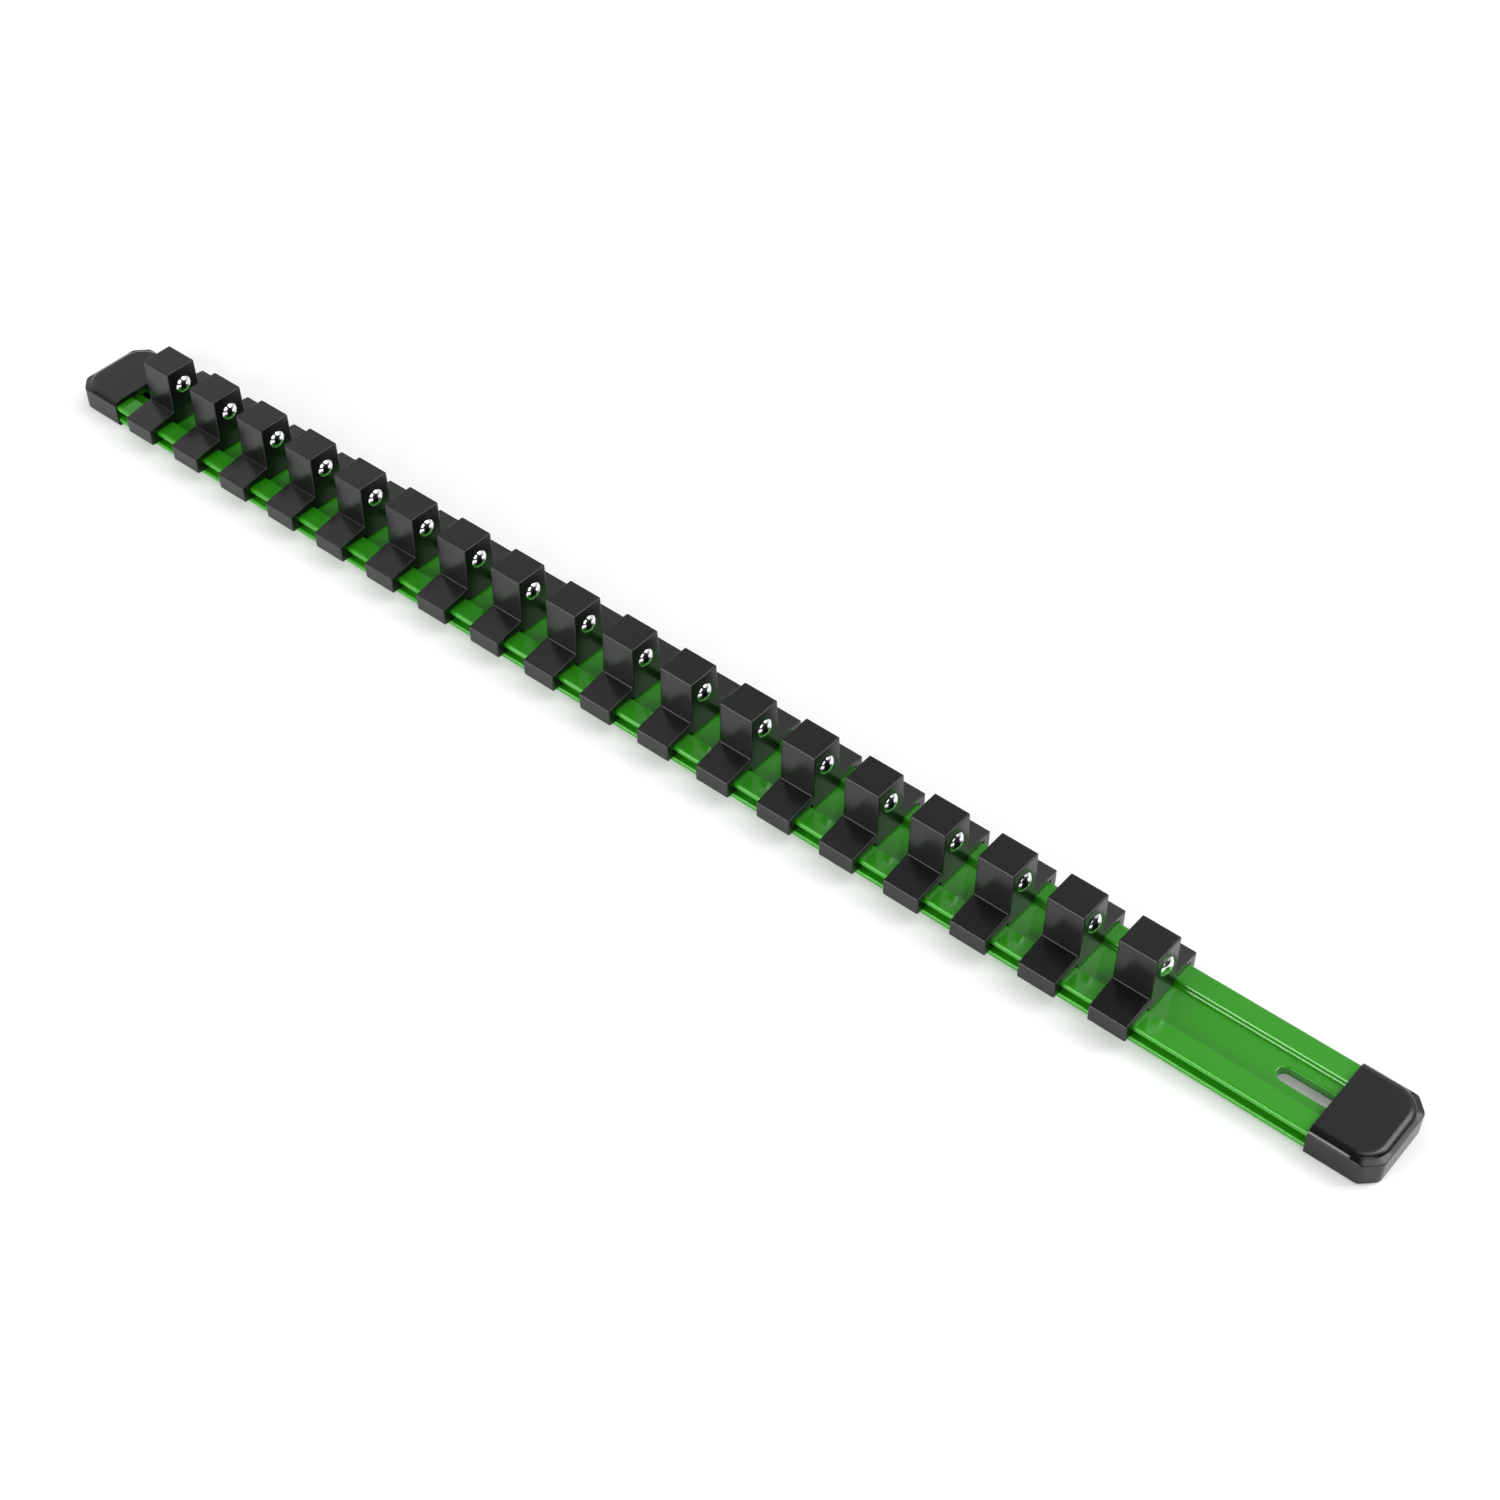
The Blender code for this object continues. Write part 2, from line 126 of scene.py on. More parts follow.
class RailSizes(bpy.types.PropertyGroup):
    """The extrusion's section and its screw slots"""

    flange: length("Flange", "Thickness of the flange that the clips run on", 0.0020)
    lip: length("Lip", "Thickness of the lip under the side groove", 0.0020)
    groove_depth: length("Groove depth", "How far the side groove goes in", 0.0026)
    channel_width: length("Channel width", "Width of the channel along the top", 0.0137)
    channel_depth: length("Channel depth", "Depth of the channel along the top", 0.00195)
    web: length("Web", "Thickness of the channel's floor", 0.0031)
    side_wall: length("Side wall", "Thickness between the groove and the hollow", 0.0022)
    edge_radius: length("Edge radius", "Radius of the outer edges", 0.0007)
    inner_radius: length("Inner radius", "Radius of the groove's and the hollow's corners", 0.00035)
    bevel_across: length("Bevel across", "Width of the bevels along the channel's edges", 0.00034)
    bevel_down: length("Bevel down", "Height of the bevels along the channel's edges", 0.0005)
    bevel_radius: length("Bevel radius", "Radius between the channel's bevels and flats", 0.0003)
    slot_width: length("Slot width", "Width of a screw slot", 0.0050)
    slot_length: length("Slot length", "Length of a screw slot", 0.0220)
    slot_from_end: length("Slot from end", "From the rail's end to the slot", 0.0101)
    slot_edge_radius: length("Slot edge radius", "Radius of the slot's upper edge", 0.0006)


class ClipSizes(bpy.types.PropertyGroup):
    """A clip's section, and the bore for its ball and spring"""

    gap: length("Running gap", "Between a clip and the rail's flange", 0.0003)
    wall: length("Wall", "Thickness of the wall beside the flange", 0.00287)
    toe_gap: length("Toe gap", "Between a hook's toe and the groove's wall", 0.0009)
    lip_gap: length("Lip gap", "Between a hook and the rail's lip", 0.00085)
    keel_side_gap: length("Keel side gap", "Between the keel and the channel's walls", 0.0004)
    saddle_edge: length("Saddle edge", "Height of the saddle's outer edge above the rail", 0.00205)
    saddle_root: length("Saddle root", "Height of the saddle at the post above the rail", 0.0036)
    post_root_width: length("Post root width", "Width of the post where it leaves the saddle", 0.0126)
    post_top_width: length("Post top width", "Width of the post at its top", 0.0117)
    root_radius: length("Root radius", "Radius between the saddle and the post", 0.0003)
    edge_radius: length("Edge radius", "Radius of the moulded edges", 0.0005)
    end_radius: length("End radius", "Radius round each end of the section", 0.0004)
    rim_gap: length("Rim gap", "Between the ball and the bore's rim", 0.00005)
    rim_depth: length("Rim depth", "How far the bore's narrow rim goes in", 0.0005)
    side_gap: length("Bore gap", "Between the ball and the bore", 0.000175)
    bore_depth: length("Bore depth", "Depth of the bore from the clip's face", 0.0110)


class SpringSizes(bpy.types.PropertyGroup):
    """The coil spring behind each ball"""

    wire: length("Wire", "Diameter of the wire", 0.0006)
    side_gap: length("Side gap", "Between the coil and the bore", 0.0005)
    end_gap: length("End gap", "Between the coil's ends and what they push on", 0.0003)
    turns: number("Turns", "Turns in the coil", 3.5, min=1)


class CapSizes(bpy.types.PropertyGroup):
    """An end cap's upright body, and the dome on its shoulder"""

    gap: length("Fit gap", "Between the pocket and the rail", 0.00025)
    side_cover: length("Side cover", "From the pocket's top to the body's top", 0.0002)
    corner: length("Corner", "Length of the slanted corners of the nose", 0.0043)
    corner_power: number("Corner power", "How sharply the nose's faces meet", 40, min=2)
    bottom_radius: length("Bottom radius", "Radius of the bottom edge", 0.0010)
    top_radius: length("Top radius", "Radius of the body's upper edge", 0.0003)
    shoulder_side: length("Side shoulder", "Width of the shoulder along the sides", 0.0006)
    shoulder_nose: length("Nose shoulder", "Width of the shoulder at the nose", 0.0012)
    shoulder_rise: length("Shoulder rise", "How far the shoulder rises", 0.0005)
    dome_corner_radius: length("Dome corner radius", "Radius of the dome's corners from above", 0.0085)
    dome_angle: number("Dome angle", "Slope of the dome at its rim", math.radians(47), unit="ROTATION")
    past_mouth: length("Past the mouth", "How far the outlines run past the mouth", 0.0030)


class Finishes(bpy.types.PropertyGroup):
    """Colours and gloss of the materials"""

    anodised: colour("Anodised", "Dye of the anodised aluminium", (0.024, 0.270, 0.005))
    anodised_metal: factor("Anodised metal", "How metallic the dyed layer looks", 0.12)
    anodised_roughness: factor("Anodised roughness", "Roughness under the clear layer", 0.42)
    clip: colour("Clip plastic", "Colour of the moulded clips", (0.0052, 0.0051, 0.0053))
    clip_roughness: factor("Clip roughness", "Roughness of the moulded clips", 0.22)
    clip_texture: length("Clip texture", "Depth of the mould's texture on the clips", 0.000004)
    cap: colour("Cap plastic", "Colour of the moulded end caps", (0.0030, 0.0030, 0.0031))
    cap_roughness: factor("Cap roughness", "Roughness of the moulded end caps", 0.24)
    cap_texture: length("Cap texture", "Depth of the mould's texture on the end caps", 0.000003)
    chrome: colour("Chrome", "Colour of the chromed balls", (0.86, 0.87, 0.88))
    spring: colour("Spring steel", "Colour of the drawn spring wire", (0.42, 0.42, 0.43))
    floor: colour("Floor", "Colour of the studio's floor", (0.83, 0.83, 0.83))


class StudioSettings(bpy.types.PropertyGroup):
    """The camera of the photograph, the lamps, the room's patches of light and the floor"""

    camera_place: lengths("Camera", "Where the camera stands", (0.36833, -0.39541, 0.53952))
    camera_target: lengths("Target", "What the camera looks at", (0.03709, -0.00067, 0.0080))
    camera_roll: number("Roll", "Turn of the camera about its view", math.radians(-0.13), unit="ROTATION")
    lens: number("Lens", "Focal length of the camera", 59.18, min=1, unit="CAMERA")
    sensor: number("Sensor", "Width of the camera's sensor", 36, min=1, unit="CAMERA")
    back: number("Back", "Strength of the patch of light behind", 0.85, min=0)
    left: number("Left", "Strength of the patch of light on the left", 0.98, min=0)
    front: number("Front", "Strength of the patch of light in front on the right", 2.4, min=0)
    top: number("Top", "Strength of the patch of light overhead", 2.6, min=0)
    low: number("Low", "Strength of the patch of light low down behind", 0.55, min=0)
    dark: number("Dark", "Strength of the rest of the room", 0.06, min=0)
    window: number("Window", "Power of the low window in front", 25, min=0, unit="POWER")
    window_place: lengths("Window place", "Where the window stands", (-0.31, -1.37, 0.36))
    window_size: lengths("Window size", "Width and height of the window", (1.3, 0.7))
    softbox: number("Softbox", "Power of the softbox behind on the right", 8, min=0, unit="POWER")
    softbox_place: lengths("Softbox place", "Where the softbox stands", (0.76, 0.70, 0.98))
    softbox_size: lengths("Softbox size", "Width and height of the softbox", (0.7, 0.7))
    floor_lift: number("Floor lift", "White that is added to the floor where it is seen", 0.20, min=0)
    floor_reach: length("Floor reach", "From the floor's middle to its edges", 4)


class Wire:
    """A node's output. Python's operators on it add Math nodes to its tree."""

    def __init__(self, tree, socket):
        self.tree = tree
        self.socket = socket

    def maths(self, operation, *terms):
        return add_node(self.tree, "ShaderNodeMath", {"operation": operation}, dict(enumerate(terms)))

    def __add__(self, other):
        return self.maths("ADD", self, other)

    def __mul__(self, other):
        return self.maths("MULTIPLY", self, other)

    __radd__ = __add__
    __rmul__ = __mul__


def feed(tree, socket, value):
    """Links a wire to a socket, or sets the socket's own value."""
    if isinstance(value, Wire):
        tree.links.new(value.socket, socket)
    else:
        socket.default_value = value


def add_node(tree, kind, settings=None, inputs=None, output=0):
    """Adds a node with its settings and its inputs' values or links, and gives one output."""
    node = tree.nodes.new(kind)
    for name, value in (settings or {}).items():
        setattr(node, name, value)
    for name, value in (inputs or {}).items():
        feed(tree, node.inputs[name], value)
    return Wire(tree, node.outputs[output])


class Finish:
    """A material on a Principled shader, with the noises that its surface is made of."""

    def __init__(self, name, **constants):
        self.material = bpy.data.materials.new(name)
        self.material.use_nodes = True
        self.tree = self.material.node_tree
        self.shader = self.tree.nodes["Principled BSDF"]
        self.place = self.node("ShaderNodeTexCoord", output="Object")
        self.set(**constants)

    def node(self, kind, settings=None, inputs=None, output=0):
        return add_node(self.tree, kind, settings, inputs, output)

    def set(self, **values):
        """Feeds the shader's sockets, which are named with _ for a space."""
        for name, value in values.items():
            feed(self.tree, self.shader.inputs[name.replace("_", " ")], value)

    def noise(self, scale, detail, stretch=(1, 1, 1)):
        """Noise about 0.5 in the piece's own frame, with scale in cycles a metre."""
        place = self.node("ShaderNodeMapping", inputs={"Vector": self.place, "Scale": stretch})
        inputs = {"Vector": place, "Scale": scale, "Detail": detail}
        return self.node("ShaderNodeTexNoise", inputs=inputs)

    def tinted(self, shade, darkest, lightest, amount):
        """A shade times a factor that goes from darkest to lightest as an amount goes from 0 to 1."""
        low = [min(1, part * darkest) for part in shade] + [1]
        high = [min(1, part * lightest) for part in shade] + [1]
        inputs = {"Factor": amount, "A": low, "B": high}
        return self.node("ShaderNodeMix", {"data_type": "RGBA"}, inputs, "Result")

    def bump(self, height, distance, strength):
        """Roughens the surface, with the distance that a height of 1 stands for."""
        inputs = {"Height": height, "Distance": distance, "Strength": strength}
        self.set(Normal=self.node("ShaderNodeBump", inputs=inputs))


def rounded(corners, steps):
    """A closed outline from corners (u, v, radius), each rounded as far as its edges allow."""
    points = []
    for index, (u, v, radius) in enumerate(corners):
        corner = Vector((u, v))
        back = Vector(corners[index - 1][:2]) - corner
        onward = Vector(corners[(index + 1) % len(corners)][:2]) - corner
        if not radius:
            points.append(tuple(corner))
            continue
        half = back.angle(onward) / 2
        reach = min(radius / math.tan(half), fillet_limit_share * min(back.length, onward.length))
        start = corner + back.normalized() * reach
        centre = corner + (back.normalized() + onward.normalized()).normalized() * reach / math.cos(half)
        turn = math.copysign(math.pi - 2 * half, -back.cross(onward))
        for step in range(steps + 1):
            spoke = Matrix.Rotation(turn * step / steps, 2) @ (start - centre)
            points.append(tuple(centre + spoke))
    return points


def both_sides(half):
    """Both halves of an outline, from the half with u above 0 given from bottom to top."""
    return half + [(-u, v, radius) for u, v, radius in reversed(half)]


def shown(name, data):
    item = bpy.data.objects.new(name, data)
    bpy.context.scene.collection.objects.link(item)
    return item


def mesh_from(work, name):
    """A mesh of what a bmesh holds. The bmesh is freed."""
    mesh = bpy.data.meshes.new(name)
    work.to_mesh(mesh)
    work.free()
    return mesh


def baked(item, name):
    """The mesh of an object with its modifiers applied. The object is removed."""
    bpy.context.view_layer.update()
    evaluated = item.evaluated_get(bpy.context.evaluated_depsgraph_get())
    mesh = bpy.data.meshes.new_from_object(evaluated)
    mesh.name = name
    bpy.data.objects.remove(item)
    return mesh


def closed(mesh):
    """Welds the points of a mesh that lie on each other and joins its faces that lie flat."""
    work = bmesh.new()
    work.from_mesh(mesh)
    bmesh.ops.remove_doubles(work, verts=work.verts, dist=weld_distance)
    bmesh.ops.dissolve_limit(work, angle_limit=flat_angle, verts=work.verts, edges=work.edges)
    bmesh.ops.recalc_face_normals(work, faces=work.faces)
    work.to_mesh(mesh)
    work.free()
    return mesh


def extruded(name, outline, long, end_radius=0, end_steps=0):
    """A section in Y and Z extruded along X about 0, with its end edges rounded."""
    curve = bpy.data.curves.new(name, "CURVE")
    curve.dimensions = "2D"
    curve.fill_mode = "BOTH"
    curve.extrude = long / 2 - end_radius
    curve.bevel_depth = end_radius
    curve.bevel_resolution = end_steps
    curve.offset = -end_radius
    spline = curve.splines.new("POLY")
    spline.points.add(len(outline) - 1)
    for point, (u, v) in zip(spline.points, outline):
        point.co = (u, v, 0, 1)
    spline.use_cyclic_u = True
    mesh = baked(shown(name, curve), name)
    mesh.transform(Matrix(((0, 0, 1, 0), (1, 0, 0, 0), (0, 1, 0, 0), (0, 0, 0, 1))))
    return closed(mesh)


def lofted(name, rings):
    """A closed mesh through rings of as many points each, from the lowest to the highest."""
    work = bmesh.new()
    rows = [[work.verts.new(point) for point in ring] for ring in rings]
    work.faces.new(list(reversed(rows[0])))
    work.faces.new(rows[-1])
    for lower, upper in zip(rows, rows[1:]):
        for index in range(len(lower)):
            after = (index + 1) % len(lower)
            work.faces.new((lower[index], lower[after], upper[after], upper[index]))
    bmesh.ops.recalc_face_normals(work, faces=work.faces)
    return mesh_from(work, name)


def turned(name, profile, sides):
    """A shape turned about X from a profile of (x, radius) and closed at both ends."""
    angles = [math.tau * side / sides for side in range(sides)]
    rings = []
    for x, radius in profile:
        rings.append([(x, radius * math.cos(angle), radius * math.sin(angle)) for angle in angles])
    return closed(lofted(name, rings))


def cut(item, *cutters):
    """Takes the cutters out of an object's mesh and gives the new mesh."""
    for cutter in cutters:
        boolean = item.modifiers.new(cutter.name, "BOOLEAN")
        boolean.operation = "DIFFERENCE"
        boolean.solver = "EXACT"
        boolean.object = cutter
    mesh = baked(item, item.data.name)
    for cutter in cutters:
        bpy.data.objects.remove(cutter)
    return mesh


def smoothed(mesh):
    """Shades round edges smooth and keeps the flat faces beside them flat."""
    mesh.shade_smooth()
    mesh.set_sharp_from_angle(angle=sharp_angle)
    item = shown(mesh.name, mesh)
    weighted = item.modifiers.new("flat_faces", "WEIGHTED_NORMAL")
    weighted.keep_sharp = True
    weighted.weight = flat_face_weight
    return baked(item, mesh.name)


def finished(name, mesh, material, body, node, place=(0, 0, 0)):
    """Shows a mesh as a piece of a body, in place of a node's plain solid."""
    piece = shown(name, mesh)
    piece.location = place
    if not mesh.materials:
        mesh.materials.append(material)
    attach(piece, body)
    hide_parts(node)
    return piece


def anodised_aluminium(finishes):
    """Green dyed aluminium under a clear, glossy seal, with faint die lines along the extrusion."""
    finish = Finish(
        "anodised_aluminium",
        Metallic=finishes.anodised_metal,
        Specular_IOR_Level=0.1,
        Coat_Weight=0.78,
        Coat_Roughness=0.12,
    )
    cloud = finish.noise(scale=22, detail=3, stretch=(0.35, 1, 1))
    grain = finish.noise(scale=5200, detail=1)
    die_lines = finish.noise(scale=2400, detail=2, stretch=(0.004, 1, 1))
    mottle = cloud * 0.55 + grain * 0.45
    finish.set(
        Base_Color=finish.tinted(finishes.anodised, darkest=0.86, lightest=1.14, amount=mottle),
        Roughness=die_lines * 0.1 + (finishes.anodised_roughness - 0.05),
    )
    finish.bump(die_lines * 0.6 + grain * 0.4, distance=0.00001, strength=0.35)
    return finish.material


def moulded_plastic(name, shade, roughness, texture):
    """Black moulded plastic with the fine spark texture of its mould."""
    finish = Finish(name, Specular_IOR_Level=0.42)
    grain = finish.noise(scale=3600, detail=2)
    flow = finish.noise(scale=140, detail=3)
    wear = finish.noise(scale=900, detail=4)
    mottle = grain * 0.7 + flow * 0.3
    finish.set(
        Base_Color=finish.tinted(shade, darkest=0.75, lightest=1.25, amount=mottle),
        Roughness=wear * 0.12 + flow * 0.08 + (roughness - 0.1),
    )
    finish.bump(grain, distance=texture, strength=0.6)
    return finish.material


def chromed_steel(finishes):
    """Bright chrome with hair scratches from the sockets that have gone over it."""
    finish = Finish("chromed_steel", Metallic=1)
    scratches = finish.noise(scale=2600, detail=3, stretch=(1, 0.08, 1))
    cloud = finish.noise(scale=500, detail=2)
    finish.set(
        Base_Color=finish.tinted(finishes.chrome, darkest=0.94, lightest=1, amount=cloud),
        Roughness=scratches * 0.06 + 0.02,
    )
    finish.bump(scratches, distance=0.000002, strength=0.2)
    return finish.material


def spring_steel(finishes):
    """Drawn steel wire, a little uneven from its oil temper."""
    finish = Finish("spring_steel", Metallic=1)
    oxide = finish.noise(scale=1400, detail=3)
    finish.set(
        Base_Color=finish.tinted(finishes.spring, darkest=0.75, lightest=1.15, amount=oxide),
        Roughness=oxide * 0.2 + 0.22,
    )
    return finish.material


def slot_outline(long, wide, steps):
    """A slot with round ends about 0, each end with as many steps."""
    straight = (long - wide) / 2
    points = []
    for centre, first in ((straight, -math.pi / 2), (-straight, math.pi / 2)):
        for step in range(steps + 1):
            angle = first + math.pi * step / steps
            points.append((centre + wide / 2 * math.cos(angle), wide / 2 * math.sin(angle)))
    return points


class AddRail(bpy.types.Operator):
    """Builds the anodised extrusion with its rounded edges and screw slots"""

    bl_idname = "socketrail.add_rail"
    bl_label = "Rail"
    corner_steps = 7
    slot_end_steps = 24
    slot_edge_steps = 7

    def section(self, sizes):
        side = rail_high.y
        groove = side - sizes.groove_depth
        hollow = groove - sizes.side_wall
        channel = sizes.channel_width / 2
        floor = rail_high.z - sizes.channel_depth
        groove_low = rail_low.z + sizes.lip
        groove_high = rail_high.z - sizes.flange
        half = [
            (hollow, floor - sizes.web, sizes.inner_radius),
            (hollow, rail_low.z, sizes.inner_radius),
            (side, rail_low.z, sizes.edge_radius),
            (side, groove_low, sizes.edge_radius),
            (groove, groove_low, sizes.inner_radius),
            (groove, groove_high, sizes.inner_radius),
            (side, groove_high, sizes.edge_radius),
            (side, rail_high.z, sizes.edge_radius),
            (channel + sizes.bevel_across, rail_high.z, sizes.bevel_radius),
            (channel, rail_high.z - sizes.bevel_down, sizes.bevel_radius),
            (channel, floor + sizes.bevel_down, sizes.bevel_radius),
            (channel - sizes.bevel_across, floor, sizes.bevel_radius),
        ]
        return rounded(both_sides(half), self.corner_steps)

    def slot(self, sizes, x):
        """The cutter of a screw slot at x, which widens into the slot's round upper edge."""
        floor = rail_high.z - sizes.channel_depth
        radius = sizes.slot_edge_radius
        levels = [(rail_low.z - cutter_overrun, 0), (floor - radius, 0)]
        for step in range(1, self.slot_edge_steps + 1):
            angle = math.pi / 2 * step / self.slot_edge_steps
            levels.append((floor - radius * (1 - math.sin(angle)), radius * (1 - math.cos(angle))))
        levels.append((rail_high.z + cutter_overrun, radius))
        rings = []
        for height, flare in levels:
            long = sizes.slot_length + 2 * flare
            wide = sizes.slot_width + 2 * flare
            rings.append([(x + u, v, height) for u, v in slot_outline(long, wide, self.slot_end_steps)])
        return shown("slot", lofted("slot", rings))

    def execute(self, context):
        sizes = context.scene.rail_sizes
        blank = shown("rail_blank", extruded("extrusion", self.section(sizes), rail_high.x * 2))
        slot_x = rail_high.x - sizes.slot_from_end - sizes.slot_length / 2
        mesh = smoothed(cut(blank, self.slot(sizes, slot_x), self.slot(sizes, -slot_x)))
        material = anodised_aluminium(context.scene.finishes)
        finished("anodised_rail", mesh, material, "rail", "rail")
        return {"FINISHED"}


class AddClips(bpy.types.Operator):
    """Builds the moulded clips with their square posts and ball bores"""

    bl_idname = "socketrail.add_clips"
    bl_label = "Clips"
    corner_steps = 5
    end_steps = 3
    bore_sides = 64

    def section(self, rail, sizes):
        inner = rail_high.y + sizes.gap
        outer = inner + sizes.wall
        toe = rail_high.y - rail.groove_depth + sizes.toe_gap
        hook_high = rail_high.z - rail.flange - sizes.gap
        hook_low = rail_low.z + rail.lip + sizes.lip_gap
        keel = rail.channel_width / 2 - sizes.keel_side_gap
        under = rail_high.z + sizes.gap
        half = [
            (keel, rail_high.z - rail.channel_depth + sizes.gap, sizes.edge_radius),
            (keel, under, 0),
            (inner, under, 0),
            (inner, hook_high, 0),
            (toe, hook_high, 0),
            (toe, hook_low, 0),
            (outer, hook_low, sizes.edge_radius),
            (outer, rail_high.z + sizes.saddle_edge, sizes.edge_radius),
            (sizes.post_root_width / 2, rail_high.z + sizes.saddle_root, sizes.root_radius),
            (sizes.post_top_width / 2, clip_high.z, sizes.edge_radius),
        ]
        return rounded(both_sides(half), self.corner_steps)

    def bore(self, sizes, face):
        """The cutter of a clip's bore, whose rim at x face is narrower than the ball."""
        standing_out = ball_high.x - clip_high.x
        rim = math.sqrt(ball_radius**2 - (ball_radius - standing_out) ** 2) + sizes.rim_gap
        wall = ball_radius + sizes.side_gap
        profile = [
            (face - sizes.bore_depth, wall),
            (face - sizes.rim_depth, wall),
            (face, rim),
            (face + cutter_overrun, rim),
        ]
        mesh = turned("bore", profile, self.bore_sides)
        mesh.transform(Matrix.Translation((0, 0, (ball_low.z + ball_high.z) / 2)))
        return shown("bore", mesh)

    def execute(self, context):
        sizes = context.scene.clip_sizes
        outline = self.section(context.scene.rail_sizes, sizes)
        solid = extruded("clip", outline, clip_length, sizes.end_radius, self.end_steps)
        mesh = smoothed(cut(shown("clip_blank", solid), self.bore(sizes, clip_length / 2)))
        finishes = context.scene.finishes
        material = moulded_plastic(
            "clip_plastic", finishes.clip, finishes.clip_roughness, finishes.clip_texture
        )
        for body in clip_bodies:
            low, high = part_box(body)
            middle = ((low.x + high.x) / 2, 0, 0)
            finished(f"moulded_{body}", mesh, material, body, body, middle)
        return {"FINISHED"}


class AddBalls(bpy.types.Operator):
    """Builds the chromed detent balls"""

    bl_idname = "socketrail.add_balls"
    bl_label = "Balls"
    cuts_per_edge = 13

    def execute(self, context):
        work = bmesh.new()
        bmesh.ops.create_cube(work, size=1)
        bmesh.ops.subdivide_edges(work, edges=work.edges, cuts=self.cuts_per_edge, use_grid_fill=True)
        for vertex in work.verts:
            vertex.co = vertex.co.normalized() * ball_radius
        mesh = mesh_from(work, "detent_ball")
        mesh.shade_smooth()
        material = chromed_steel(context.scene.finishes)
        for body in clip_bodies:
            ball = body.replace("clip", "ball")
            low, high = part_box(ball)
            finished(f"detent_{ball}", mesh, material, ball, ball, (low + high) / 2)
        return {"FINISHED"}


class AddSprings(bpy.types.Operator):
    """Builds the coil springs that sit behind the balls"""

    bl_idname = "socketrail.add_springs"
    bl_label = "Springs"
    steps_per_turn = 28
    wire_steps = 3

    def coil(self, sizes, clip_sizes):
        """A round wire wound about X, with x 0 at the clip's back face, and where its ends lie."""
        coil_radius = ball_radius + clip_sizes.side_gap - sizes.side_gap - sizes.wire / 2
        seat = ball_radius + sizes.end_gap + sizes.wire / 2
        ball_x = ball_low.x + ball_radius - clip_low.x
        back = clip_length - clip_sizes.bore_depth + sizes.end_gap + sizes.wire / 2
        front = ball_x - math.sqrt(seat**2 - coil_radius**2)
        count = round(sizes.turns * self.steps_per_turn)
        curve = bpy.data.curves.new("coil_spring", "CURVE")
        curve.dimensions = "3D"
        curve.bevel_depth = sizes.wire / 2
        curve.bevel_resolution = self.wire_steps
        curve.use_fill_caps = True
        spline = curve.splines.new("POLY")
        spline.points.add(count)
        for step, point in enumerate(spline.points):
            angle = math.tau * step / self.steps_per_turn
            x = back + (front - back) * step / count
            point.co = (x, coil_radius * math.cos(angle), coil_radius * math.sin(angle), 1)
        mesh = closed(baked(shown("coil_spring", curve), "coil_spring"))
        mesh.shade_smooth()
        return mesh, back - sizes.wire / 2, front + sizes.wire / 2

    def execute(self, context):
        mesh, back, front = self.coil(context.scene.spring_sizes, context.scene.clip_sizes)
        material = spring_steel(context.scene.finishes)
        ranges = {joint["name"]: joint["range_m"] for joint in frame["joints"]}
        for body in clip_bodies:
            spring = body.replace("clip", "spring")
            ball = body.replace("clip", "ball")
            ball_place = sum(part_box(ball), Vector()) / 2
            place = Vector((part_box(body)[0].x, 0, ball_place.z))
            piece = finished(f"coil_{spring}", mesh, material, body, spring, place)
            travel = -min(ranges[f"{ball}_press"])
            keep = 1 - travel / (front - back)
            anchor = (place.x + back, 0, place.z)
            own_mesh(piece)
        return {"FINISHED"}


